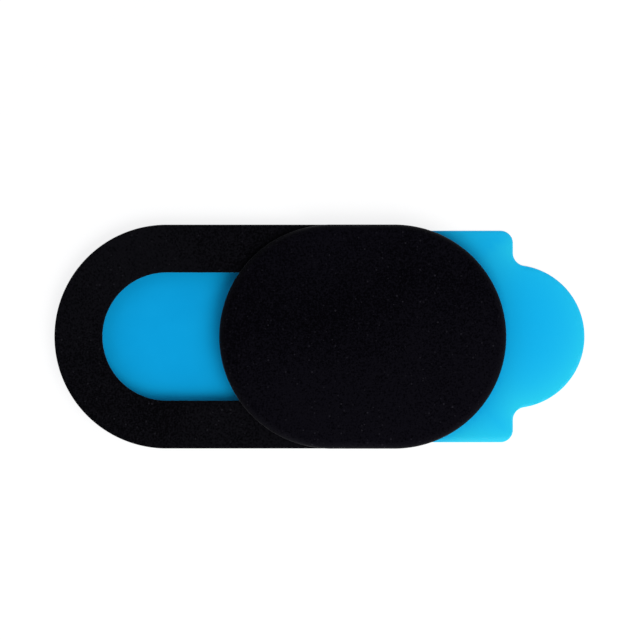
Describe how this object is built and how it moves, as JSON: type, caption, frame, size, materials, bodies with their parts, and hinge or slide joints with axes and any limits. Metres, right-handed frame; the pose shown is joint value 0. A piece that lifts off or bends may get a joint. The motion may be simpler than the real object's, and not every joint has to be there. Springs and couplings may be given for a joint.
{
  "type": "webcam cover slider",
  "caption": "Flat stick-on webcam cover: a round-ended black frame with a long slot, a plate that slides over the slot to hide the camera, and a blue release film with a pull tab.",
  "frame": {"origin": "centre of the frame's outline, on the back of the release film", "axes": "+X along the slot, towards the pull tab; +Y across the slot; +Z out of the front, towards the user"},
  "size_m": [0.0406, 0.0172, 0.0018],
  "materials": {
    "frame_plastic": "black, fine matt moulded texture",
    "shutter_plastic": "black, fine matt moulded texture",
    "tape": "pale acrylic double-sided tape",
    "film": "blue release film, smooth and satin"
  },
  "bodies": {
    "base": {"base_frame": "frame_plastic", "adhesive_ring": "tape", "release_film": "film"},
    "slider": {"shutter": "shutter_plastic"}
  },
  "joints": [
    {"name": "shutter_slide", "type": "slide", "parent": "base", "child": "slider", "axis": [-1, 0, 0], "range_m": [0, 0.0126]}
  ]
}
